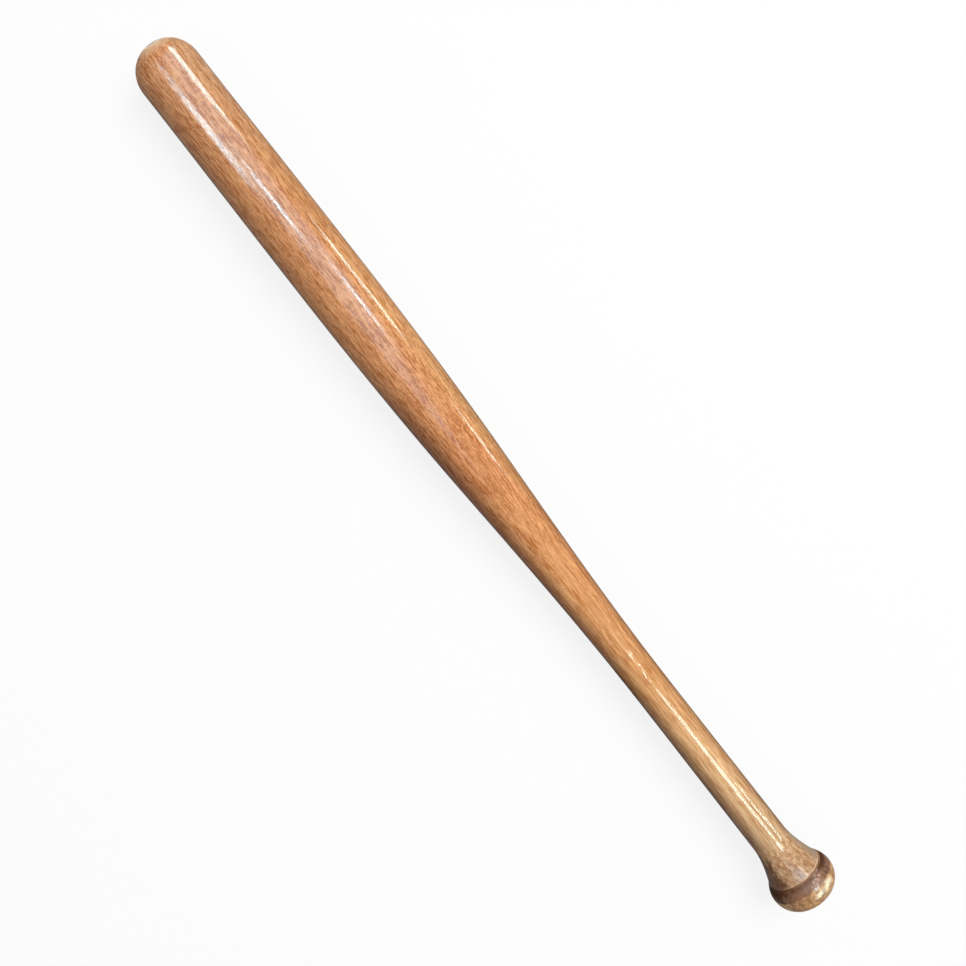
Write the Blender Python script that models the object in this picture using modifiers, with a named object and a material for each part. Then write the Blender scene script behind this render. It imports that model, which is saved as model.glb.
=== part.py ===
"""A turned wooden baseball bat, lying along X with its knob at -X and the barrel's tip at +X.

Units are metres. The floor is z = 0, under the middle of the bat's length.
Stations are distances along the bat from the flat end of the knob.
"""
import math

import bpy

# The whole bat
LENGTH = 0.864
FACETS = 48
JOINT_GAP = 0.0003

# Tip of the barrel: a flat where the turning stub was cut off, and a dome round it
TIP_FLAT_DIAMETER = 0.013
TIP_DOME_STATION = 0.8415
TIP_DOME_DIAMETER = 0.0554

# Barrel and taper: the barrel is fullest here, and the taper is steepest halfway down
BARREL_STATION = 0.637
BARREL_DIAMETER = 0.0565
TAPER_STATION = 0.431
TAPER_DIAMETER = 0.0462
TAPER_STEEPNESS = 0.108

# Handle and flare: the flare leaves the handle without a break and climbs to the rim ever faster
HANDLE_STATION = 0.211
HANDLE_DIAMETER = 0.0302
FLARE_STATION = 0.0610
FLARE_DIAMETER = 0.0307
RIM_STATION = 0.0272
RIM_DIAMETER = 0.0464
RIM_STEEPNESS = -0.78
RIM_ROUNDING = 0.0006

# Tenon on the body, glued into the knob's blind bore
TENON_DIAMETER = 0.0190
TENON_LENGTH = 0.0200
TENON_CHAMFER = 0.0010

# Knob: its crown ends at an edge that stands out beyond the body's rim
KNOB_EDGE_DIAMETER = 0.0494
KNOB_STATION = 0.0170
KNOB_DIAMETER = 0.0550
KNOB_FLAT_DIAMETER = 0.0180

# The bat lies on the fullest part of its barrel
AXIS_HEIGHT = BARREL_DIAMETER / 2


def clear_scene():
    """Empties the scene that the file starts with."""
    for obj in list(bpy.data.objects):
        bpy.data.objects.remove(obj, do_unlink=True)


def quarter_ellipse(pole_station, pole_radius, side_station, side_radius, count):
    """Points from an end face round to the side, square to both, as (station, radius)."""
    points = []
    for i in range(count + 1):
        turn = math.pi / 2 * i / count
        station = side_station + (pole_station - side_station) * math.cos(turn)
        radius = pole_radius + (side_radius - pole_radius) * math.sin(turn)
        points.append((station, radius))
    return points


def arc_from_crest(crest_station, crest_radius, edge_station, edge_radius, count):
    """Points on the circle that is level at the crest and passes through the edge."""
    run = edge_station - crest_station
    drop = crest_radius - edge_radius
    circle_radius = (run ** 2 + drop ** 2) / (2 * drop)
    points = []
    for i in range(count + 1):
        along = run * i / count
        fall = circle_radius - math.sqrt(circle_radius ** 2 - along ** 2)
        points.append((crest_station + along, crest_radius - fall))
    return points


def cubic(start, end, count):
    """Points of the cubic between two (station, diameter, steepness), without the first."""
    start_station, start_diameter, start_steepness = start
    end_station, end_diameter, end_steepness = end
    run = end_station - start_station
    points = []
    for i in range(1, count + 1):
        t = i / count
        diameter = (
            (2 * t ** 3 - 3 * t ** 2 + 1) * start_diameter
            + (t ** 3 - 2 * t ** 2 + t) * run * start_steepness
            + (3 * t ** 2 - 2 * t ** 3) * end_diameter
            + (t ** 3 - t ** 2) * run * end_steepness
        )
        points.append((start_station + run * t, diameter / 2))
    return points


def body_profile():
    """Half section of the body from the barrel's tip, along the outside, to the tenon's end."""
    dome = (TIP_DOME_STATION, TIP_DOME_DIAMETER, 0)
    barrel = (BARREL_STATION, BARREL_DIAMETER, 0)
    taper = (TAPER_STATION, TAPER_DIAMETER, TAPER_STEEPNESS)
    handle = (HANDLE_STATION, HANDLE_DIAMETER, 0)
    flare = (FLARE_STATION, FLARE_DIAMETER, 0)
    shoulder_station = RIM_STATION + JOINT_GAP / 2
    rim = (shoulder_station + RIM_ROUNDING, RIM_DIAMETER, RIM_STEEPNESS)

    points = [(LENGTH, 0)]
    points += quarter_ellipse(LENGTH, TIP_FLAT_DIAMETER / 2, TIP_DOME_STATION, TIP_DOME_DIAMETER / 2, 10)
    points += cubic(dome, barrel, 3)
    points += cubic(barrel, taper, 9)
    points += cubic(taper, handle, 11)
    points += cubic(handle, flare, 2)
    points += cubic(flare, rim, 8)
    points.append((shoulder_station, RIM_DIAMETER / 2 - RIM_ROUNDING))

    tenon_radius = TENON_DIAMETER / 2
    tenon_end = RIM_STATION - TENON_LENGTH
    points.append((shoulder_station, tenon_radius))
    points.append((tenon_end + TENON_CHAMFER, tenon_radius))
    points.append((tenon_end, tenon_radius - TENON_CHAMFER))
    points.append((tenon_end, 0))
    return points


def knob_profile():
    """Half section of the knob from the floor of its bore, round the outside, to its flat end."""
    bore_radius = TENON_DIAMETER / 2 + JOINT_GAP
    bore_floor = RIM_STATION - TENON_LENGTH - JOINT_GAP
    top_station = RIM_STATION - JOINT_GAP / 2
    crown = arc_from_crest(KNOB_STATION, KNOB_DIAMETER / 2, top_station, KNOB_EDGE_DIAMETER / 2, 7)
    base = quarter_ellipse(0, KNOB_FLAT_DIAMETER / 2, KNOB_STATION, KNOB_DIAMETER / 2, 10)

    points = [(bore_floor, 0), (bore_floor, bore_radius), (top_station, bore_radius)]
    points += reversed(crown)
    points += reversed(base[:-1])
    points.append((0, 0))
    return points


def turned(name, profile, material, collection):
    """Turns a half section about the bat's axis, with a flat of the turning facing the floor."""
    corner = math.tan(math.pi / FACETS)
    vertices = [(radius, radius * corner, station) for station, radius in profile]
    edges = [(i, i + 1) for i in range(len(vertices) - 1)]
    mesh = bpy.data.meshes.new(name)
    mesh.from_pydata(vertices, edges, [])
    mesh.materials.append(material)
    obj = bpy.data.objects.new(name, mesh)
    collection.objects.link(obj)
    screw = obj.modifiers.new("turning", "SCREW")
    screw.axis = "Z"
    screw.steps = FACETS
    screw.render_steps = FACETS
    screw.use_merge_vertices = True
    screw.merge_threshold = 0.00001
    screw.use_smooth_shade = True
    obj.location = (-LENGTH / 2, 0, AXIS_HEIGHT)
    obj.rotation_euler = (0, math.pi / 2, 0)
    return obj


def varnished_wood(name, colour, roughness):
    """A plain material with a wood's colour under a varnish."""
    material = bpy.data.materials.new(name)
    material.use_nodes = True
    shader = material.node_tree.nodes["Principled BSDF"]
    shader.inputs["Base Color"].default_value = (*colour, 1)
    shader.inputs["Roughness"].default_value = roughness
    shader.inputs["Metallic"].default_value = 0
    return material


def make_bat_body(collection):
    """Barrel, taper, handle and flare, turned in one length with the tenon at the end."""
    material = varnished_wood("honey_brown_wood", (0.52, 0.25, 0.11), 0.3)
    return turned("bat_body", body_profile(), material, collection)


def make_knob(collection):
    """The darker knob, turned apart and bored for the tenon."""
    material = varnished_wood("dark_brown_wood", (0.19, 0.09, 0.05), 0.3)
    return turned("knob", knob_profile(), material, collection)


clear_scene()
bat = bpy.data.collections.new("wooden_baseball_bat")
bpy.context.scene.collection.children.link(bat)
make_bat_body(bat)
make_knob(bat)
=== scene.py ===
"""A varnished wooden baseball bat lying along X, its knob at -X and its tip at +X, seen from above.

Units are metres. The floor is z = 0. Stations are distances along the bat from the knob's flat end.
Turns are angles round the bat's axis, from the top towards -Y.
"""
import math

import bpy
import numpy as np
from mathutils import Matrix, Vector


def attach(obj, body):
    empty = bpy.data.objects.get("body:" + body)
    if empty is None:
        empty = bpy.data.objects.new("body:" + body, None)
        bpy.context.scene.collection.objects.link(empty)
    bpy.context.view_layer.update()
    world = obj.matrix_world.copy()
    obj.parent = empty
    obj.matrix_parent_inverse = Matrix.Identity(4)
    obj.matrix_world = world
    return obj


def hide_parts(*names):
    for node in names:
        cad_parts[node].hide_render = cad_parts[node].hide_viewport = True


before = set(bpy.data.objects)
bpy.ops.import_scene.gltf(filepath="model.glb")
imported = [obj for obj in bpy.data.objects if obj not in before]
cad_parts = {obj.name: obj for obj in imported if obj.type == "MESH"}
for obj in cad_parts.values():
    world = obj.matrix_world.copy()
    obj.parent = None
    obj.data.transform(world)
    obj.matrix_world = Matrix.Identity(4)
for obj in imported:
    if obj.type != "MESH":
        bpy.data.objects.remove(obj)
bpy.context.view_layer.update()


# Bat body
# Barrel, taper, handle and flare, turned in one length from open-grained hardwood, stained honey brown and
# varnished. Its tenon goes into the knob. A small flat is sanded on the shoulder of the barrel's end.
LENGTH = 0.864
TIP_FLAT_DIAMETER = 0.013
TIP_DOME_STATION = 0.8415
TIP_DOME_DIAMETER = 0.0554
BARREL_STATION = 0.637
BARREL_DIAMETER = 0.0565
TAPER_STATION = 0.431
TAPER_DIAMETER = 0.0462
TAPER_STEEPNESS = 0.108
HANDLE_STATION = 0.211
HANDLE_DIAMETER = 0.0302
FLARE_STATION = 0.0610
FLARE_DIAMETER = 0.0307
RIM_STATION = 0.0272
RIM_DIAMETER = 0.0464
RIM_STEEPNESS = -0.78
RIM_ROUNDING = 0.0006
TENON_DIAMETER = 0.0190
TENON_LENGTH = 0.0200
TENON_CHAMFER = 0.0010
JOINT_LINE = 0.0001
AXIS_HEIGHT = BARREL_DIAMETER / 2

AROUND = 144
SHARP_ANGLE = math.radians(35)

# Dips of hand sanding: their full depth, and three waves. Each wave has how often it goes round the bat, how
# many radians it turns through in a metre along it, and the angle that it starts at.
UNEVENNESS = 0.00005
DIP_WAVES = ((2, 31, 0.4), (3, -74, 1.9), (5, 143, 4.1))

# Raised grain: its slope across the barrel, how many random waves make it, how often they go round the bat,
# how far they slant, in radians to a metre, and how far the whole grain is sunk, as a share of its waves.
RAISED_GRAIN = 0.004
RUFFLES = 60
RUFFLES_ROUND = (14, 62)
RUFFLE_SLANT = 260
RUFFLE_SINK = 0.12
RUFFLE_SEED = 5

# The length over which both fade out at each end, and the small flat on the barrel's end
FADE_LENGTH = 0.02
SANDED_FLAT_RISE = math.radians(38)
SANDED_FLAT_TURN = math.radians(7)
SANDED_FLAT_DEPTH = 0.00035


def quarter_ellipse(pole_station, pole_radius, side_station, side_radius, count):
    """Profile from an end face round to the side, by the cosine and the sine of a quarter turn."""
    turn = np.linspace(0, math.pi / 2, count + 1)
    stations = side_station + (pole_station - side_station) * np.cos(turn)
    radii = pole_radius + (side_radius - pole_radius) * np.sin(turn)
    return np.column_stack([stations, radii])


def cubic(start, end, count):
    """Profile on the cubic between two (station, diameter, steepness) ends, without its first point."""
    start_station, start_diameter, start_steepness = start
    end_station, end_diameter, end_steepness = end
    run = end_station - start_station
    t = np.linspace(0, 1, count + 1)[1:]
    diameters = (
        (2 * t ** 3 - 3 * t ** 2 + 1) * start_diameter
        + (t ** 3 - 2 * t ** 2 + t) * run * start_steepness
        + (3 * t ** 2 - 2 * t ** 3) * end_diameter
        + (t ** 3 - t ** 2) * run * end_steepness
    )
    return np.column_stack([start_station + run * t, diameters / 2])


def straight(start, end, count):
    """Profile on the straight line between two (station, radius) ends, without its first point."""
    t = np.linspace(0, 1, count + 1)[1:, None]
    return np.array(start) * (1 - t) + np.array(end) * t


def body_profile():
    """Half section of the body from the barrel's tip, along the outside, to the tenon's end."""
    dome = (TIP_DOME_STATION, TIP_DOME_DIAMETER, 0)
    barrel = (BARREL_STATION, BARREL_DIAMETER, 0)
    taper = (TAPER_STATION, TAPER_DIAMETER, TAPER_STEEPNESS)
    handle = (HANDLE_STATION, HANDLE_DIAMETER, 0)
    flare = (FLARE_STATION, FLARE_DIAMETER, 0)
    shoulder = RIM_STATION + JOINT_LINE / 2
    rim_end = shoulder + RIM_ROUNDING
    rim = (rim_end, RIM_DIAMETER, RIM_STEEPNESS)
    rim_radius = RIM_DIAMETER / 2
    rounding = quarter_ellipse(shoulder, rim_radius - RIM_ROUNDING, rim_end, rim_radius, 5)
    tenon_radius = TENON_DIAMETER / 2
    tenon_end = RIM_STATION - TENON_LENGTH
    chamfer_start = (tenon_end + TENON_CHAMFER, tenon_radius)
    chamfer_end = (tenon_end, tenon_radius - TENON_CHAMFER)
    return np.vstack([
        straight((LENGTH, 0), (LENGTH, TIP_FLAT_DIAMETER / 2), 8),
        quarter_ellipse(LENGTH, TIP_FLAT_DIAMETER / 2, TIP_DOME_STATION, TIP_DOME_DIAMETER / 2, 60)[1:],
        cubic(dome, barrel, 110),
        cubic(barrel, taper, 120),
        cubic(taper, handle, 130),
        cubic(handle, flare, 75),
        cubic(flare, rim, 60),
        rounding[-2::-1],
        straight((shoulder, rim_radius - RIM_ROUNDING), (shoulder, tenon_radius), 6),
        straight((shoulder, tenon_radius), chamfer_start, 6),
        straight(chamfer_start, chamfer_end, 1),
        straight(chamfer_end, (tenon_end, 0), 3),
    ])


def round_the_axis(profile):
    """Rings of places about the bat's axis, one ring for each point of a profile but its first and last.

    At station s, radius r and turn q the place is x = s - half the length, y = -r sin q and
    z = axis height + r cos q. The (points, turns, 3) array comes back with its stations and turns.
    """
    stations, radii = profile[1:-1].T[:, :, None]
    turns = np.arange(AROUND) * (2 * math.pi / AROUND)
    x = stations - LENGTH / 2
    y = -radii * np.sin(turns)
    z = AXIS_HEIGHT + radii * np.cos(turns)
    return np.stack(np.broadcast_arrays(x, y, z), axis=-1), stations, turns


def turned(name, profile, rings):
    """A closed mesh through rings of places, ended by their profile's first and last points on the axis."""
    count = len(rings)
    poles = [(profile[0, 0] - LENGTH / 2, 0, AXIS_HEIGHT), (profile[-1, 0] - LENGTH / 2, 0, AXIS_HEIGHT)]
    vertices = np.vstack([rings.reshape(-1, 3), poles])
    here = np.arange(AROUND)
    beside = (here + 1) % AROUND
    this_ring = (np.arange(count - 1) * AROUND)[:, None]
    next_ring = this_ring + AROUND
    corners = [this_ring + here, this_ring + beside, next_ring + beside, next_ring + here]
    quads = np.stack(corners, axis=-1).reshape(-1, 4)
    first_pole, last_pole = count * AROUND, count * AROUND + 1
    last_ring = (count - 1) * AROUND
    first_fan = np.column_stack([np.full(AROUND, first_pole), beside, here])
    last_fan = np.column_stack([np.full(AROUND, last_pole), last_ring + here, last_ring + beside])
    mesh = bpy.data.meshes.new(name)
    mesh.from_pydata(vertices.tolist(), [], quads.tolist() + first_fan.tolist() + last_fan.tolist())
    mesh.shade_smooth()
    mesh.set_sharp_from_angle(angle=SHARP_ANGLE)
    piece = bpy.data.objects.new(name, mesh)
    bpy.context.scene.collection.objects.link(piece)
    return piece


def sanded_flat_normal():
    """The direction that the sanded flat faces: up from +X by its rise, and round by its turn."""
    return np.array([
        math.cos(SANDED_FLAT_RISE),
        -math.sin(SANDED_FLAT_RISE) * math.sin(SANDED_FLAT_TURN),
        math.sin(SANDED_FLAT_RISE) * math.cos(SANDED_FLAT_TURN),
    ])


def hand_finished(rings, stations, turns):
    """Sanding by hand: slow dips along and round the side, raised grain, and one small flat on the tip.

    A dip is the mean of its waves, between nothing and the full unevenness, and it is taken off along the
    radius. The raised grain adds short random waves, whose slope across the barrel is about the given
    number of radians, and across the handle half as much. Points beyond the flat's plane slide to it
    towards the middle of the dome. The plane's distance from the scene's origin comes back with the rings.
    """
    waves = sum(np.sin(often * turns + run * stations + start) for often, run, start in DIP_WAVES)
    waves = waves / len(DIP_WAVES)
    across = rings - np.array([0, 0, AXIS_HEIGHT])
    across[..., 0] = 0
    radii = np.linalg.norm(across, axis=-1)
    random = np.random.default_rng(RUFFLE_SEED)
    ruffle = np.zeros_like(radii)
    for _ in range(RUFFLES):
        often = random.integers(*RUFFLES_ROUND)
        phase = often * turns + random.normal(0, RUFFLE_SLANT) * stations + random.uniform(0, 2 * math.pi)
        ruffle += np.sin(phase) / often
    grain = RAISED_GRAIN * radii ** 2 / AXIS_HEIGHT * (RUFFLE_SINK - ruffle / math.sqrt(RUFFLES / 2))
    dip = UNEVENNESS * (0.5 + 0.5 * waves) + grain
    from_rim = np.clip((stations - RIM_STATION) / FADE_LENGTH, 0, 1)
    from_tip = np.clip((LENGTH - stations) / FADE_LENGTH, 0, 1)
    rings = rings - across * (dip * (from_rim * from_tip) / np.maximum(radii, 1e-6))[..., None]

    normal = sanded_flat_normal()
    plane = float((rings @ normal).max() - SANDED_FLAT_DEPTH)
    from_dome = rings - np.array([TIP_DOME_STATION - LENGTH / 2, 0, AXIS_HEIGHT])
    beyond = np.maximum(rings @ normal - plane, 0)
    return rings - from_dome * (beyond / np.maximum(from_dome @ normal, 1e-4))[..., None], plane


class Amount:
    """A node socket's number, which adds, multiplies and so on as a Python number does."""

    def __init__(self, finish, socket):
        self.finish = finish
        self.socket = socket

    def __add__(self, other):
        return self.finish.maths("ADD", self, other)

    def __sub__(self, other):
        return self.finish.maths("SUBTRACT", self, other)

    def __rsub__(self, other):
        return self.finish.maths("SUBTRACT", other, self)

    def __mul__(self, other):
        return self.finish.maths("MULTIPLY", self, other)

    def __truediv__(self, other):
        return self.finish.maths("DIVIDE", self, other)

    def __rtruediv__(self, other):
        return self.finish.maths("DIVIDE", other, self)

    def __abs__(self):
        return self.finish.maths("ABSOLUTE", self)

    __radd__ = __add__
    __rmul__ = __mul__


class Finish:
    """The nodes of a material, lamp or world, added one at a time."""

    def __init__(self, owner):
        owner.use_nodes = True
        self.tree = owner.node_tree
        self.tree.nodes.clear()

    def node(self, kind, settings, sockets, output=0):
        """Adds a node of a type, sets its settings, then its sockets, and hands back one output.

        A setting called stops gives a ramp's positions and colours, the lowest first.
        """
        made = self.tree.nodes.new(kind)
        settings = dict(settings)
        stops = settings.pop("stops", ())
        if stops:
            elements = made.color_ramp.elements
            elements.remove(elements[1])
            elements[0].position, elements[0].color = stops[0]
            for place, colour in stops[1:]:
                elements.new(place).color = colour
        for name, value in settings.items():
            setattr(made, name, value)
        for name, value in sockets.items():
            if isinstance(value, Amount):
                self.tree.links.new(value.socket, made.inputs[name])
            else:
                made.inputs[name].default_value = value
        return Amount(self, made.outputs[output]) if made.outputs else made

    def maths(self, operation, *values):
        """One operation on numbers, such as MAXIMUM."""
        return self.node("ShaderNodeMath", {"operation": operation}, dict(enumerate(values)))

    def step(self, value, low, high):
        """0 before low, 1 past high, and a smooth climb between them, whichever of them is the greater."""
        return self.node(
            "ShaderNodeMapRange",
            {"interpolation_type": "SMOOTHSTEP"},
            {"Value": value, "From Min": low, "From Max": high},
        )

    def between(self, value, rise, fall):
        """1 on a stretch: the step over the pair called rise, times the step over the pair called fall."""
        return self.step(value, *rise) * self.step(value, *fall)

    def colours(self, factor, first, second, blend="MIX"):
        """The first colour where factor is 0, the second where it is 1."""
        values = {"Factor": factor, 6: first, 7: second}
        return self.node("ShaderNodeMix", {"data_type": "RGBA", "blend_type": blend}, values, 2)

    def shaded(self, colour, factor, shade):
        """A colour as it is where factor is 0, and multiplied by a shade where it is 1."""
        return self.colours(1.0, colour, self.colours(factor, (1, 1, 1, 1), shade), "MULTIPLY")

    def noise(self, place, scale, detail=2.0, roughness=0.5, output="Fac"):
        """Smooth random values from 0 to 1, about scale of them to a unit of place."""
        values = {"Vector": place, "Scale": scale, "Detail": detail, "Roughness": roughness}
        return self.node("ShaderNodeTexNoise", {}, values, output)

    def drawn_out(self, place, scales, detail, roughness=0.5, output="Fac"):
        """Noise with a scale of its own along x, along y and along z."""
        return self.noise(self.vectors("MULTIPLY", place, scales), 1, detail, roughness, output)

    def vectors(self, operation, first, second=(0, 0, 0), output="Vector"):
        """Adds, multiplies or measures vectors. Those that make a number have it on the output Value."""
        return self.node("ShaderNodeVectorMath", {"operation": operation}, {0: first, 1: second}, output)

    def part(self, place, axis):
        """One of a vector's three numbers."""
        return self.node("ShaderNodeSeparateXYZ", {}, {"Vector": place}, axis)


RING_WIDTH = 0.0038
PITH_DISTANCE = 0.075
PITH_TURN = math.radians(-12)
FIBRE_CLIMB = 0.030
FIBRE_BEND = 0.055

# Noises in the timber: scales along x, along y and along z, detail, and roughness where it isn't a half
DRIFT = ((10, 60, 60), 2)
WAVER = ((55, 130, 130), 1)
RING_WOBBLE = ((14, 60, 60), 3)
BANDS = ((60, 330, 330), 2)
LONG_FIBRES = ((22, 820, 820), 2)
SHORT_FIBRES = ((105, 1000, 1000), 1)
DASHES = ((130, 950, 950), 1)
GRIT = ((480, 900, 900), 1)
VARNISH_GRIT = ((450, 900, 900), 1)
CURLS = ((240, 330, 330), 4, 0.72)

# How far the drift and the waver move the fibres, in metres for the whole range of their noise
DRIFT_REACH = 0.0038
WAVER_REACH = 0.0022

PALE_FIGURE = (1.30, 1.54, 1.88, 1)
DARK_FIGURE = (0.72, 0.56, 0.43, 1)
LOW_SIDE_SHADE = (0.56, 0.52, 0.54, 1)
HIGH_SIDE_SHADE = (0.72, 0.66, 0.60, 1)
LOW_EDGE_SHADE = (0.70, 0.68, 0.72, 1)
LIMB_SHADE = (0.58, 0.54, 0.52, 1)
BLUSH_COLOUR = (0.60, 0.30, 0.175, 1)
DARK_PATCH_COLOUR = (0.115, 0.048, 0.026, 1)
DARK_PATCH_PALE_COLOUR = (0.22, 0.105, 0.058, 1)
RIM_SHEEN_COLOUR = (0.46, 0.335, 0.215, 1)
ARRIS_WEAR_AND_HIGHLIGHT_COLOUR = (0.90, 0.60, 0.38, 1)
FACET_COLOUR = (0.60, 0.53, 0.40, 1)
FACET_EDGE_HIGHLIGHT_COLOUR = (1.0, 0.82, 0.60, 1)
FACET_PALE_AND_SHEEN_COLOUR = (0.92, 0.62, 0.38, 1)
WOOD_ROUGHNESS = 0.55
GRAIN_BUMP = 0.00005
VARNISH_WEIGHT = 0.24
VARNISH_ROUGHNESS = 0.12

# Where the wood changes along the bat: x before the change, from the middle of the bat, and x after it
TO_HANDLE = (0.12, -0.25)
ON_FLARE = (-0.366, -0.380)
SHADED_STRETCH = (0.13, 0.04)
DARK_PATCH_STRETCH = (-0.370, -0.380)
POOLED_STRETCH = (-0.3930, -0.3965)
BROKEN_STRETCH = ((-0.2205, -0.2165), (-0.1885, -0.1915))
ARRIS_WIDTH = 0.0014
ARRIS_EDGE = 0.0003

# The same across it, as y in metres
SIDE_TONE_SIDE = (-0.009, -0.021)
DARK_PATCH_SIDE = (0.0104, 0.0154)

# The same round it, as y over the radius: -1 at the high side, towards -Y, which is the upper one in the
# picture, 0 on top and underneath, and 1 at the low side, towards +Y
CALM_STRIP = ((-0.36, -0.22), (0.04, -0.10))
LOW_SIDE = (0.25, 0.95)
HIGH_SIDE = (-0.60, -0.98)
LOW_EDGE = (0.90, 0.985)
RIM_SHEEN_SIDE = (-0.78, -0.97)
SPECKLED_SIDE = (-0.30, -0.10)
POOLED_STRIP = ((-0.46, -0.36), (0.00, -0.10))

# How far within the outline, seen from above, the limb's shade ends and is full, and how far below the
# sanded flat's plane each of its colours does
LIMB = (0.0019, 0.0003)
FACET_PALE_AND_SHEEN = (0.0050, 0.0009)
FACET_EDGE_HIGHLIGHT = (0.0009, 0.0003)
FACET = (0.00015, 0.00003)

# The flare's blush and blots, and the sanded flat's: waves to a metre, and the range of noise that changes
BLUSH_SCALE = 300
BLUSH_RANGE = (0.52, 0.64)
BLOT_SCALE = 220
BLOT_RANGE = (-0.12, 0.14)
FACET_BLOT_RANGE = (-0.10, 0.10)

# The ranges of the varnish's grit in which it breaks, pools and speckles the varnish
BROKEN_RANGE = (0.40, 0.50)
POOLED_RANGE = (0.42, 0.58)
SPECKLED_RANGE = (0.38, 0.62)

# The darkness that the figure keeps to on the calm strip, and how closely, and how far the side's tone
# moves up along the handle
CALM_DARKNESS = 0.43
CALMNESS = 0.7
HANDLE_TONE_SHIFT = 0.007

# How much of each colour lies over the wood
BLUSH_STRENGTH = 0.35
RIM_SHEEN_STRENGTH = 0.75
DARK_PATCH_STRENGTH = 0.88
FACET_EDGE_HIGHLIGHT_STRENGTH = 0.85
FACET_STRENGTH = 0.9

# The stain's tone along the bat, on its top and on its -Y side: a share of the length, and a colour. On the
# handle the -Y side's tone is darker: painted shade.
TOP_TONES = (
    (0.038, (0.49, 0.272, 0.130, 1)),
    (0.060, (0.57, 0.330, 0.155, 1)),
    (0.15, (0.69, 0.380, 0.165, 1)),
    (0.25, (0.66, 0.315, 0.116, 1)),
    (0.37, (0.69, 0.300, 0.106, 1)),
    (0.51, (0.62, 0.240, 0.083, 1)),
    (0.66, (0.64, 0.266, 0.098, 1)),
    (0.80, (0.60, 0.244, 0.088, 1)),
    (0.95, (0.61, 0.262, 0.105, 1)),
)
SIDE_TONES = (
    (0.038, (0.52, 0.420, 0.285, 1)),
    (0.065, (0.57, 0.390, 0.225, 1)),
    (0.12, (0.37, 0.150, 0.045, 1)),
    (0.25, (0.64, 0.300, 0.084, 1)),
    (0.37, (0.57, 0.225, 0.058, 1)),
    (0.52, (0.75, 0.372, 0.137, 1)),
    (0.64, (0.67, 0.308, 0.112, 1)),
    (0.80, (0.59, 0.256, 0.088, 1)),
    (0.95, (0.59, 0.285, 0.122, 1)),
)


def along_grain(finish):
    """A point's place, from the bat's axis, and its place in the timber, where the fibres are straight.

    The fibres climb towards the knob by a parabola in x. Slow noise, drawn out along x, moves them
    sideways and up by about a millimetre, and quicker noise by about a third of one.
    """
    place = finish.node("ShaderNodeTexCoord", {}, {}, "Object")
    centred = finish.vectors("SUBTRACT", place, (0, 0, AXIS_HEIGHT))
    x = finish.part(centred, "X")
    climb = x * FIBRE_CLIMB + x * x * FIBRE_BEND
    rise = finish.node("ShaderNodeCombineXYZ", {}, {"Z": climb})
    level = finish.vectors("ADD", centred, rise)
    grain = level
    for noise, reach in ((DRIFT, DRIFT_REACH), (WAVER, WAVER_REACH)):
        offset = finish.vectors("SUBTRACT", finish.drawn_out(level, *noise, output="Color"), (0.5, 0.5, 0.5))
        grain = finish.vectors("ADD", grain, finish.vectors("MULTIPLY", offset, (0.0, reach, reach)))
    return centred, grain


def wood_figure(finish, grain, to_handle, on_flare):
    """How dark the wood is at a place in the timber, about 0.45 on average, and how high its surface is.

    Rings are a sine of the distance from the pith, over the ring's width. Bands and fibres are streaks
    drawn out along x, broad ones, long thin ones and short ones, with grit between them. Pores are short
    dark dashes and flecks are short pale ones. On the flare the grain curls, as it does round a knot.
    """
    pith = (0, math.sin(PITH_TURN) * PITH_DISTANCE, -math.cos(PITH_TURN) * PITH_DISTANCE)
    from_pith = finish.vectors("MULTIPLY", finish.vectors("SUBTRACT", grain, pith), (0, 1, 1))
    distance = finish.vectors("LENGTH", from_pith, output="Value")
    wobble = finish.drawn_out(grain, *RING_WOBBLE) - 0.5
    phase = distance / RING_WIDTH + wobble * 1.8
    ring = finish.maths("SINE", phase * (2 * math.pi))

    band = finish.drawn_out(grain, *BANDS) - 0.5
    long_fibre = finish.drawn_out(grain, *LONG_FIBRES) - 0.5
    short_fibre = finish.drawn_out(grain, *SHORT_FIBRES) - 0.5
    dash = finish.drawn_out(grain, *DASHES)
    grit = finish.drawn_out(grain, *GRIT) - 0.5
    pore = finish.step(dash + ring * 0.03, 0.62, 0.75)
    fleck = finish.step(dash, 0.41, 0.29)
    curl = finish.drawn_out(grain, *CURLS) - 0.5
    fibres = (
        band * 1.1
        + long_fibre * 1.5
        + short_fibre * (2.4 - to_handle * 1.4)
        + grit * (1.4 - to_handle * 1.2)
        + pore * (0.32 - to_handle * 0.16)
        - fleck * (0.56 - to_handle * 0.36)
    )
    dark = 0.47 + ring * 0.10 + fibres * (1 - on_flare * 0.35) + curl * on_flare * 3.9
    relief = short_fibre * 0.35 + grit * 0.8 + fleck * 0.12 - pore * 0.25
    return dark, relief * (1 - to_handle * 0.9)


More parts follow.
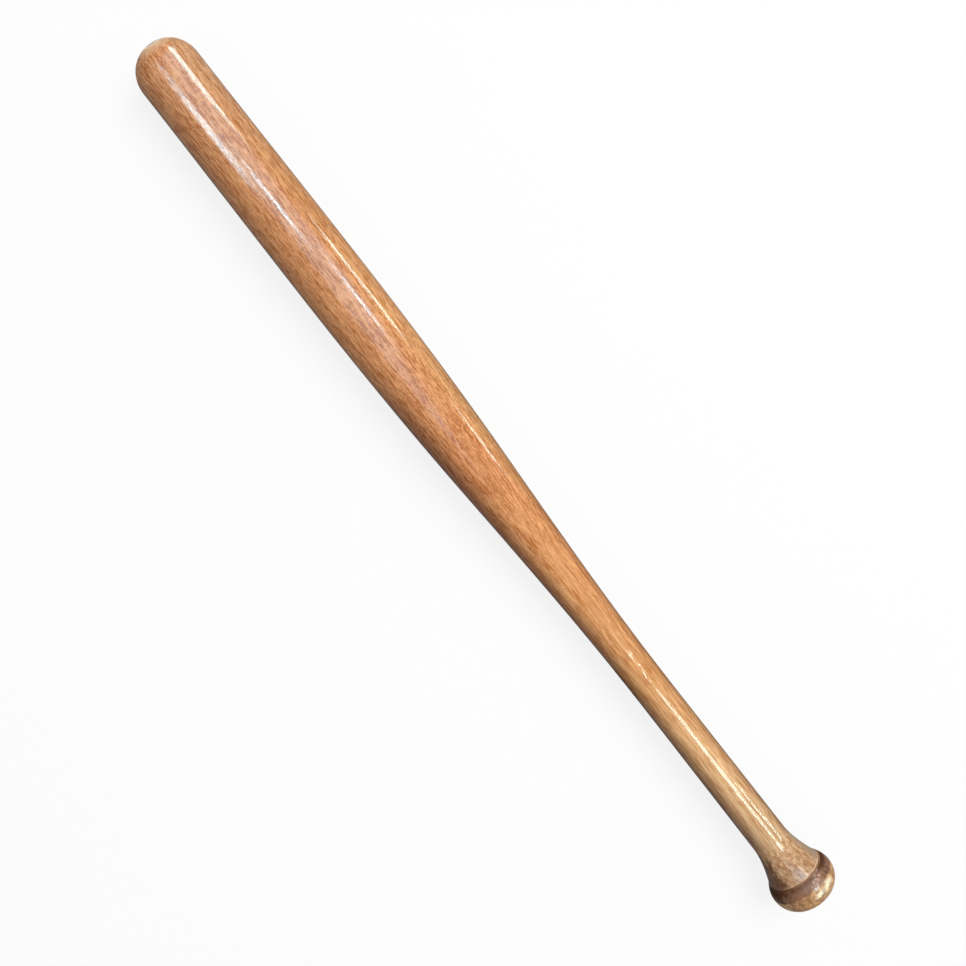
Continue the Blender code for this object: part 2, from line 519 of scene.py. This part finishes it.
def honey_brown_wood(facet_plane):
    """Orange-brown wood with darker rings and pores, tan along the handle, and with a darker patch on the
    flare's +Y side.

    The tone, the colour that the wood is dyed, comes from the two ramps; on the handle's -Y side it also
    holds painted shade.
    The wood's figure and the painted shade of the sides multiply it. Over that lie the flare's blush, a
    painted reflection along its
    -Y side and the darker patch, the joint's arris rubbed pale with a painted highlight, and round the sanded
    flat paler end grain with a painted reflection and a painted highlight on its edge. The varnish is broken
    into specks on one stretch of the handle, and thicker in a patch on the flare.
    """
    material = bpy.data.materials.new("honey_brown_wood")
    finish = Finish(material)
    place, grain = along_grain(finish)
    x = finish.part(place, "X")
    y = finish.part(place, "Y")
    radius = finish.vectors("LENGTH", finish.vectors("MULTIPLY", place, (0, 1, 1)), output="Value")
    lean = y / radius
    to_handle = finish.step(x, *TO_HANDLE)
    on_flare = finish.step(x, *ON_FLARE)
    dark, relief = wood_figure(finish, grain, to_handle, on_flare)

    share = x / LENGTH + 0.5
    top_tone = finish.node("ShaderNodeValToRGB", {"stops": TOP_TONES}, {"Fac": share})
    side_tone = finish.node("ShaderNodeValToRGB", {"stops": SIDE_TONES}, {"Fac": share})
    on_side = finish.step(y + to_handle * HANDLE_TONE_SHIFT, *SIDE_TONE_SIDE)
    tone = finish.colours(on_side, top_tone, side_tone)

    # The figure is calmer on a strip along the handle
    calm = finish.between(lean, *CALM_STRIP) * to_handle * (1 - on_flare)
    dark = CALM_DARKNESS + (dark - CALM_DARKNESS) * (1 - calm * CALMNESS)
    figure = finish.colours(dark, PALE_FIGURE, DARK_FIGURE)
    colour = finish.colours(1.0, tone, figure, "MULTIPLY")

    # Painted shade on both sides from the taper to the flare, on the low edge all along, and on the limb
    on_shaded = finish.step(x, *SHADED_STRETCH) * (1 - on_flare)
    colour = finish.shaded(colour, finish.step(lean, *LOW_SIDE) * on_shaded, LOW_SIDE_SHADE)
    colour = finish.shaded(colour, finish.step(lean, *HIGH_SIDE) * on_shaded, HIGH_SIDE_SHADE)
    colour = finish.shaded(colour, finish.step(lean, *LOW_EDGE), LOW_EDGE_SHADE)
    colour = finish.shaded(colour, finish.step(radius - abs(y), *LIMB), LIMB_SHADE)

    # Blush of the flare, a painted reflection as a pale sheen along its -Y side, and a darker patch on its +Y
    # side near the rim
    blush = finish.step(finish.noise(place, BLUSH_SCALE), *BLUSH_RANGE) * on_flare
    colour = finish.colours(blush * BLUSH_STRENGTH, colour, BLUSH_COLOUR)
    # Painted reflection: a pale sheen along the flare's -Y side
    rim_sheen = finish.step(lean, *RIM_SHEEN_SIDE) * on_flare
    colour = finish.colours(rim_sheen * RIM_SHEEN_STRENGTH, colour, RIM_SHEEN_COLOUR)
    blot = finish.noise(place, BLOT_SCALE, 3, 0.65) - 0.5
    # A darker patch on the flare's +Y side near the rim
    in_dark_patch = finish.step(y + blot * 0.022, *DARK_PATCH_SIDE) * finish.step(x + blot * 0.04, *DARK_PATCH_STRETCH)
    dark_patch = finish.colours(finish.step(blot, *BLOT_RANGE), DARK_PATCH_PALE_COLOUR, DARK_PATCH_COLOUR)
    colour = finish.colours(in_dark_patch * DARK_PATCH_STRENGTH, colour, dark_patch)

    # The arris at the joint, rubbed pale, with a painted highlight that makes it palest at the -Y side
    arris_start = RIM_STATION - LENGTH / 2 + ARRIS_WIDTH
    on_arris = finish.step(x, arris_start, arris_start - ARRIS_EDGE)
    colour = finish.colours(on_arris * (0.40 - lean * 0.42), colour, ARRIS_WEAR_AND_HIGHLIGHT_COLOUR)

    # The sanded flat, the painted highlight on its edge, and round it paler end grain with a painted
    # reflection, by the depth below its plane
    normal = sanded_flat_normal()
    outward = finish.vectors("DOT_PRODUCT", place, tuple(normal), "Value")
    depth = facet_plane - AXIS_HEIGHT * normal[2] - outward
    # Paler end grain round the flat, with a painted reflection
    glow = finish.step(depth, *FACET_PALE_AND_SHEEN) * (0.45 + finish.step(blot, *FACET_BLOT_RANGE) * 0.40)
    colour = finish.colours(glow, colour, FACET_PALE_AND_SHEEN_COLOUR)
    # Painted highlight on the flat's edge
    colour = finish.colours(finish.step(depth, *FACET_EDGE_HIGHLIGHT) * FACET_EDGE_HIGHLIGHT_STRENGTH, colour, FACET_EDGE_HIGHLIGHT_COLOUR)
    colour = finish.colours(finish.step(depth, *FACET) * FACET_STRENGTH, colour, FACET_COLOUR)

    # The varnish: broken, speckled and pooled by the same grit
    grit = finish.drawn_out(grain, *VARNISH_GRIT)
    broken = finish.between(x, *BROKEN_STRETCH) * finish.step(grit, *BROKEN_RANGE)
    speckled = (0.24 + finish.step(lean, *SPECKLED_SIDE) * 0.46) * (1 - to_handle)
    pooled = finish.step(x, *POOLED_STRETCH) * finish.between(lean, *POOLED_STRIP) * (1 - on_arris)
    thickness = VARNISH_WEIGHT * (1 + pooled * (0.7 + finish.step(grit, *POOLED_RANGE) * 1.7))
    gloss = thickness * (1 - broken * 0.97) * (0.90 + (finish.step(grit, *SPECKLED_RANGE) - 0.5) * speckled)
    bump = finish.node("ShaderNodeBump", {}, {"Strength": 1.0, "Distance": GRAIN_BUMP, "Height": relief})
    shader = finish.node(
        "ShaderNodeBsdfPrincipled",
        {},
        {
            "Base Color": colour,
            "Roughness": WOOD_ROUGHNESS,
            "Specular IOR Level": 0.0,
            "Coat Weight": gloss,
            "Coat Roughness": VARNISH_ROUGHNESS,
            "Normal": bump,
        },
    )
    finish.node("ShaderNodeOutputMaterial", {}, {"Surface": shader})
    return material


body_outline = body_profile()
body_rings, sanded_plane = hand_finished(*round_the_axis(body_outline))
body = turned("turned_body", body_outline, body_rings)
body.data.materials.append(honey_brown_wood(sanded_plane))
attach(body, "root")
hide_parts("bat_body")


# Knob
# A darker wood, turned apart to a rounded crown and end, bored for the tenon and glued on. Its side is
# stained dark purple brown, and the end grain of its end shows golden brown through the same varnish.
KNOB_STATION = 0.0170
KNOB_DIAMETER = 0.0550
KNOB_FLAT_DIAMETER = 0.0180
KNOB_EDGE_DIAMETER = 0.0494
KNOB_EDGE_ROUNDING = 0.0012
BORE_GAP = 0.0003

CROWN_COLOUR = (0.100, 0.042, 0.020, 1)
CROWN_LIT_COLOUR = (0.300, 0.150, 0.090, 1)
SMEAR_HIGHLIGHT_COLOUR = (0.74, 0.50, 0.40, 1)
LEDGE_PAINTED_LIGHT_COLOUR = (0.62, 0.36, 0.22, 1)
END_PALE_COLOUR = (0.68, 0.40, 0.180, 1)
END_DARK_COLOUR = (0.31, 0.145, 0.062, 1)
CROWN_VARNISH_WEIGHT = 0.28
END_VARNISH_WEIGHT = 0.40
KNOB_VARNISH_ROUGHNESS = 0.24
MOTTLE_BUMP = 0.00006

# Painted light on the crown's top and -Y side. The streaks in the crown have scales along x, along y and
# along z, and detail.
# They waver the painted light's edge, and a range of them makes it stronger. Then heights, y and x before the
# painted light and in it.
CROWN_STREAKS = ((220, 480, 480), 3)
LIT_EDGE_WAVER = 0.016
LIT_STREAK_RANGE = (0.40, 0.62)
LIT_TOP = (AXIS_HEIGHT + 0.0130, AXIS_HEIGHT + 0.0245)
LIT_SIDE = (-0.0175, -0.0235)
LIT_SIDE_STRETCH = (-0.4062, -0.4102)

# Towards the joint the painted light on the crown is weaker, and its varnish thinner: x before the change and
# after it.
# Below this range of the streaks it is thinner too.
LESS_LIT = (-0.4092, -0.4062)
THIN_VARNISH = (-0.4110, -0.4075)
STREAKED_RANGE = (0.36, 0.60)

# The band of painted highlight across the crown: its slant, its two ends in y, its two sides in x, and the
# ledge at the joint, lightened with painted light
SMEAR_HIGHLIGHT_SLANT = 0.64
SMEAR_HIGHLIGHT_ENDS = ((-0.0010, -0.0040), (-0.0160, -0.0130))
SMEAR_HIGHLIGHT_SIDES = ((-0.4194, -0.4166), (-0.4106, -0.4128))
SPECK_SCALE = 620
SPECK_RANGE = (0.46, 0.58)
LEDGE_DEPTH = 0.0005
LEDGE_LIGHT_FADE = (0.0, 0.014)

# Where the crown's stain meets the golden end, from the knob's widest place, how many waves to a metre its
# edge has, how far they reach, and the mottle of the end
END_START = 0.0020
END_FULL = 0.0
END_EDGE_SCALE = 180
END_EDGE_WAVER = 0.005
MOTTLE_SCALE = 240
MOTTLE_RANGE = (0.30, 0.68)


def arc_from_crest(crest_station, crest_radius, edge_station, edge_radius, count):
    """Profile on the circle that is level at the crest and passes through the edge."""
    run = edge_station - crest_station
    drop = crest_radius - edge_radius
    circle_radius = (run ** 2 + drop ** 2) / (2 * drop)
    along = run * np.linspace(0, 1, count + 1)
    fall = circle_radius - np.sqrt(circle_radius ** 2 - along ** 2)
    return np.column_stack([crest_station + along, crest_radius - fall])


def knob_profile():
    """Half section of the knob from the floor of its bore, round the outside, to its flat end."""
    bore_radius = TENON_DIAMETER / 2 + BORE_GAP
    bore_floor = RIM_STATION - TENON_LENGTH - BORE_GAP
    top_station = RIM_STATION - JOINT_LINE / 2
    edge_radius = KNOB_EDGE_DIAMETER / 2
    edge_station = top_station - KNOB_EDGE_ROUNDING
    rounding = quarter_ellipse(top_station, edge_radius - KNOB_EDGE_ROUNDING, edge_station, edge_radius, 5)
    crown = arc_from_crest(KNOB_STATION, KNOB_DIAMETER / 2, edge_station, edge_radius, 50)
    end = quarter_ellipse(0, KNOB_FLAT_DIAMETER / 2, KNOB_STATION, KNOB_DIAMETER / 2, 80)
    return np.vstack([
        [[bore_floor, 0]],
        straight((bore_floor, 0), (bore_floor, bore_radius), 4),
        straight((bore_floor, bore_radius), (top_station, bore_radius), 10),
        straight((top_station, bore_radius), (top_station, edge_radius - KNOB_EDGE_ROUNDING), 8),
        rounding[1:],
        crown[-2::-1],
        end[-2::-1],
        straight((0, KNOB_FLAT_DIAMETER / 2), (0, 0), 10),
    ])


def dark_brown_wood():
    """Dark crown, made paler on its top and its -Y side with painted light, and a mottled golden end, under a
    duller varnish.

    A slanted band of painted highlight, broken into specks, crosses the crown, and painted light lightens the
    thin ledge at the joint.
    The varnish is thinner towards the joint and between the streaks.
    """
    material = bpy.data.materials.new("dark_brown_wood")
    finish = Finish(material)
    place = finish.node("ShaderNodeTexCoord", {}, {}, "Object")
    x = finish.part(place, "X")
    y = finish.part(place, "Y")
    z = finish.part(place, "Z")
    streak = finish.drawn_out(place, *CROWN_STREAKS)
    uneven = (streak - 0.5) * LIT_EDGE_WAVER
    # Painted light: the crown is paler on its top and its -Y side
    lit_top = finish.step(z + uneven, *LIT_TOP)
    lit_side = finish.step(y - uneven, *LIT_SIDE) * finish.step(x, *LIT_SIDE_STRETCH) * 0.8
    painted_light = finish.maths("MAXIMUM", lit_top, lit_side) * (0.80 + finish.step(streak, *LIT_STREAK_RANGE) * 0.35)
    painted_light = painted_light * (1 - finish.step(x, *LESS_LIT) * 0.45)
    crown = finish.colours(painted_light, CROWN_COLOUR, CROWN_LIT_COLOUR)

    # A band of painted highlight across the crown, broken into specks
    on_highlight_smear = finish.between(y, *SMEAR_HIGHLIGHT_ENDS) * finish.between(x + y * SMEAR_HIGHLIGHT_SLANT, *SMEAR_HIGHLIGHT_SIDES)
    specks = finish.step(finish.noise(place, SPECK_SCALE), *SPECK_RANGE)
    crown = finish.colours(on_highlight_smear * (0.06 + specks * 0.54), crown, SMEAR_HIGHLIGHT_COLOUR)
    # Painted light on the ledge at the joint, weakest towards the +Y side
    joint = RIM_STATION - LENGTH / 2
    on_ledge = finish.step(x, joint - LEDGE_DEPTH, joint - LEDGE_DEPTH / 2)
    crown = finish.colours(on_ledge * (0.7 - finish.step(y, *LEDGE_LIGHT_FADE) * 0.6), crown, LEDGE_PAINTED_LIGHT_COLOUR)

    mottle = finish.noise(place, MOTTLE_SCALE, 3, 0.6)
    end = finish.colours(finish.step(mottle, *MOTTLE_RANGE), END_PALE_COLOUR, END_DARK_COLOUR)
    wavering = x + (finish.noise(place, END_EDGE_SCALE) - 0.5) * END_EDGE_WAVER
    widest = KNOB_STATION - LENGTH / 2
    on_end = finish.step(wavering, widest + END_START, widest + END_FULL)
    colour = finish.colours(on_end, crown, end)

    weight = CROWN_VARNISH_WEIGHT + on_end * (END_VARNISH_WEIGHT - CROWN_VARNISH_WEIGHT)
    weight = weight * (1 - finish.step(x, *THIN_VARNISH) * 0.8)
    relief = mottle * 0.5 + streak * 0.5
    bump = finish.node("ShaderNodeBump", {}, {"Strength": 1.0, "Distance": MOTTLE_BUMP, "Height": relief})
    shader = finish.node(
        "ShaderNodeBsdfPrincipled",
        {},
        {
            "Base Color": colour,
            "Roughness": WOOD_ROUGHNESS,
            "Specular IOR Level": 0.0,
            "Coat Weight": weight * (0.4 + finish.step(streak, *STREAKED_RANGE) * 0.6),
            "Coat Roughness": KNOB_VARNISH_ROUGHNESS,
            "Normal": bump,
        },
    )
    finish.node("ShaderNodeOutputMaterial", {}, {"Surface": shader})
    return material


knob_outline = knob_profile()
knob = turned("turned_knob", knob_outline, round_the_axis(knob_outline)[0])
knob.data.materials.append(dark_brown_wood())
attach(knob, "root")
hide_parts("knob")


# Floor
# A plain white floor that the bat lies on. It keeps the bat's soft shadow. What is seen of it, straight or
# in the varnish, is nearly white, and it throws little light back up at the bat.
FLOOR_HALF_WIDTH = 4.0
FLOOR_WHITE = (0.95, 0.95, 0.95, 1)
FLOOR_GREY = (0.10, 0.10, 0.10, 1)
FLOOR_GLOW = 0.84


def seen_ray(finish):
    """1 for a ray from the camera, a reflection or a see-through surface, and 0 for any other."""
    camera_ray, glossy_ray, transmission_ray = (
        finish.node("ShaderNodeLightPath", {}, {}, kind)
        for kind in ("Is Camera Ray", "Is Glossy Ray", "Is Transmission Ray")
    )
    return finish.maths("MINIMUM", camera_ray + glossy_ray + transmission_ray, 1.0)


def pale_floor():
    """White with a little glow for rays that see it, grey for the light that bounces off it."""
    material = bpy.data.materials.new("pale_floor")
    finish = Finish(material)
    seen = seen_ray(finish)
    white = finish.node("ShaderNodeBsdfDiffuse", {}, {"Color": FLOOR_WHITE})
    grey = finish.node("ShaderNodeBsdfDiffuse", {}, {"Color": FLOOR_GREY})
    glow = finish.node("ShaderNodeEmission", {}, {"Color": (1, 1, 1, 1), "Strength": 1.0})
    lit = finish.node("ShaderNodeMixShader", {}, {0: FLOOR_GLOW, 1: white, 2: glow})
    shader = finish.node("ShaderNodeMixShader", {}, {0: seen, 1: grey, 2: lit})
    finish.node("ShaderNodeOutputMaterial", {}, {"Surface": shader})
    return material


floor_mesh = bpy.data.meshes.new("floor")
corners = FLOOR_HALF_WIDTH * np.array([(-1, -1, 0), (1, -1, 0), (1, 1, 0), (-1, 1, 0)])
floor_mesh.from_pydata(corners.tolist(), [], [(0, 1, 2, 3)])
floor_mesh.materials.append(pale_floor())
floor = bpy.data.objects.new("floor", floor_mesh)
bpy.context.scene.collection.objects.link(floor)


# Camera
# Straight above the middle of the bat, turned so that the bat runs from the upper left, its tip, to the
# lower right, its knob.
CAMERA_HEIGHT = 0.7614
CAMERA_PLACE = np.array([-0.0053, 0.0053, AXIS_HEIGHT + CAMERA_HEIGHT])
CAMERA_TURN = math.radians(231.965)
SENSOR_WIDTH = 36.0
LENS = 35.217

camera_data = bpy.data.cameras.new("camera")
camera_data.sensor_width = SENSOR_WIDTH
camera_data.lens = LENS
camera = bpy.data.objects.new("camera", camera_data)
camera.location = CAMERA_PLACE
camera.rotation_euler = (0, 0, CAMERA_TURN)
bpy.context.scene.collection.objects.link(camera)
bpy.context.scene.camera = camera


# Lamps
# A big soft lamp above lights the bat, and long narrow ones show as the streaks in its varnish. Each of
# those hangs where its reflection falls on a named stretch of the bat, seen from the camera.
KEY_TILT = math.radians(30)
KEY_DISTANCE = 2.6
KEY_WIDTH = 1.7
KEY_LIGHT = 0.62
SKY_LIGHT = 0.40
LAMP_WHITE = (0.58, 0.96, 1.0)
WARM_WHITE = (0.68, 1.0, 0.95)
DAYLIGHT = (0.49, 0.85, 1.0)
BLUE_SKY = (0.15, 0.62, 1.0)
PINK_WHITE = (1.0, 0.88, 0.68)

# Station and turn of a streak's two ends, its width, how far off its lamp is, its brightness and its colour,
# and the shares over which the lamp fades: at its first end, at its second end and at each side. The lamps
# of small patches hang close by, so that no other place of the bat throws back much of them.
STREAKS = {
    "tip_streak": ((0.8450, 25.7), (0.7560, 24.4), 0.0043, 1.6, 56, LAMP_WHITE, (0.02, 0.16, 0.25)),
    "barrel_streak": ((0.6695, 35.2), (0.5524, 36.3), 0.0029, 1.6, 50, WARM_WHITE, (0.15, 0.15, 0.30)),
    "taper_streak": ((0.4743, 32.6), (0.4312, 36.1), 0.0022, 1.6, 50, WARM_WHITE, (0.20, 0.20, 0.30)),
    "handle_streak": ((0.2116, 10.5), (0.0610, 8.2), 0.0030, 1.6, 44, WARM_WHITE, (0.02, 0.01, 0.20)),
    "handle_side_streak": ((0.1000, 25.7), (0.0610, 25.2), 0.0034, 1.6, 56, WARM_WHITE, (0.22, 0.01, 0.24)),
    "handle_sparkle": ((0.2504, 10.6), (0.2460, 10.6), 0.0046, 0.06, 42, WARM_WHITE, (0.05, 0.05, 0.25)),
    "handle_specks": ((0.2400, 10.6), (0.2225, 10.6), 0.0044, 0.06, 50, WARM_WHITE, (0.15, 0.15, 0.30)),
    "tip_sheen": ((0.8300, -8.5), (0.7230, -8.3), 0.0076, 4.0, 64, DAYLIGHT, (0.20, 0.15, 0.45)),
    "barrel_sheen": ((0.7380, 3.6), (0.6630, 3.6), 0.0040, 4.0, 84, DAYLIGHT, (0.20, 0.20, 0.45)),
    "taper_sheen": ((0.6300, 14.0), (0.5680, 14.0), 0.0034, 4.0, 80, DAYLIGHT, (0.20, 0.25, 0.45)),
    "sky": ((0.8400, 2.5), (0.4900, 9.0), 0.0250, 4.0, 10.5, BLUE_SKY, (0.06, 0.30, 0.30)),
    "knob_patch": ((0.0156, 9.0), (0.0112, 9.0), 0.0080, 0.35, 33, WARM_WHITE, (0.20, 0.20, 0.30)),
    "flare_patch": ((0.0380, 14.5), (0.0314, 12.5), 0.0105, 0.25, 17, PINK_WHITE, (0.15, 0.15, 0.30)),
    "knob_side_patch": ((0.0170, 30.0), (0.0114, 30.0), 0.0095, 0.35, 33, WARM_WHITE, (0.20, 0.20, 0.30)),
}


def side_radius(station):
    """Radius of the bat's outside, and its slope along the bat, at a station. The joint is bridged."""
    body_outside, knob_outside = body_profile(), knob_profile()
    body_outside = body_outside[body_outside[:, 0] > RIM_STATION + 0.001]
    knob_outside = knob_outside[knob_outside[:, 1] > RIM_DIAMETER / 2 - 0.0001]
    outside = np.vstack([body_outside, knob_outside])
    stations, radii = outside[np.argsort(outside[:, 0])].T
    reach = 0.0008
    before, here, after = np.interp([station - reach, station, station + reach], stations, radii)
    return here, (after - before) / (2 * reach)


def reflected(station, turn):
    """A point on the side of the bat, and the way that the camera's view of it is thrown back."""
    radius, slope = side_radius(station)
    angle = math.radians(turn)
    outward = np.array([0, -math.sin(angle), math.cos(angle)])
    point = np.array([station - LENGTH / 2, 0, AXIS_HEIGHT]) + radius * outward
    normal = outward - slope * np.array([1, 0, 0])
    normal /= np.linalg.norm(normal)
    view = point - CAMERA_PLACE
    view /= np.linalg.norm(view)
    return point, view - 2 * (view @ normal) * normal


def add_area_lamp(name, place, facing, long_way, length, width, radiance, colour):
    """A rectangular lamp at a place, facing a point, with its length along long_way.

    Its energy is its radiance times four times its area.
    """
    data = bpy.data.lights.new(name, "AREA")
    data.shape = "RECTANGLE"
    data.size = length
    data.size_y = width
    data.energy = radiance * length * width * 4
    data.color = colour
    lamp = bpy.data.objects.new(name, data)
    back = Vector(place - facing).normalized()
    side = Vector(long_way)
    side = (side - back * side.dot(back)).normalized()
    turned_axes = Matrix((side, back.cross(side), back)).transposed()
    lamp.matrix_world = Matrix.Translation(place) @ turned_axes.to_4x4()
    lamp.visible_camera = False
    bpy.context.scene.collection.objects.link(lamp)
    return lamp


def soften(lamp, first_share, second_share, side_share):
    """Fades a lamp smoothly towards its two ends and its sides, over those shares of its length and width."""
    finish = Finish(lamp.data)
    spot = finish.node("ShaderNodeNewGeometry", {}, {}, "Parametric")
    along = finish.part(spot, "X")
    across = finish.part(spot, "Y")
    ends = finish.step(along, 0, first_share) * finish.step(along, 1, 1 - second_share)
    sides = finish.step(across, 0, side_share) * finish.step(across, 1, 1 - side_share)
    light = finish.node("ShaderNodeEmission", {}, {"Color": (1, 1, 1, 1), "Strength": ends * sides})
    finish.node("ShaderNodeOutputLight", {}, {"Surface": light})


def add_streak_lamp(name, start, end, width, away, radiance, colour, fades):
    """A narrow lamp whose reflection runs from one (station, turn) to another, as wide as given."""
    start_point, start_way = reflected(*start)
    end_point, end_way = reflected(*end)
    start_place = start_point + away * start_way
    end_place = end_point + away * end_way
    radius = (side_radius(start[0])[0] + side_radius(end[0])[0]) / 2
    lamp = add_area_lamp(
        name,
        (start_place + end_place) / 2,
        (start_point + end_point) / 2,
        end_place - start_place,
        np.linalg.norm(end_place - start_place),
        2 * away * width / radius,
        radiance,
        colour,
    )
    lamp.visible_diffuse = False
    soften(lamp, *fades)


for name, settings in STREAKS.items():
    add_streak_lamp(name, *settings)

key_place = KEY_DISTANCE * np.array([0, -math.sin(KEY_TILT), math.cos(KEY_TILT)])
key_radiance = KEY_LIGHT * math.pi * KEY_DISTANCE ** 2 / KEY_WIDTH ** 2
key = add_area_lamp(
    "key", key_place, np.zeros(3), np.array([1.0, 0, 0]), KEY_WIDTH, KEY_WIDTH, key_radiance, (1, 1, 1)
)
key.visible_glossy = False

world = bpy.data.worlds.new("studio")
bpy.context.scene.world = world
surroundings = Finish(world)
seen_strength = seen_ray(surroundings)
strength = seen_strength * (1 - SKY_LIGHT) + SKY_LIGHT
background = surroundings.node("ShaderNodeBackground", {}, {"Color": (1, 1, 1, 1), "Strength": strength})
surroundings.node("ShaderNodeOutputWorld", {}, {"Surface": background})
bpy.context.scene.view_settings.view_transform = "Standard"
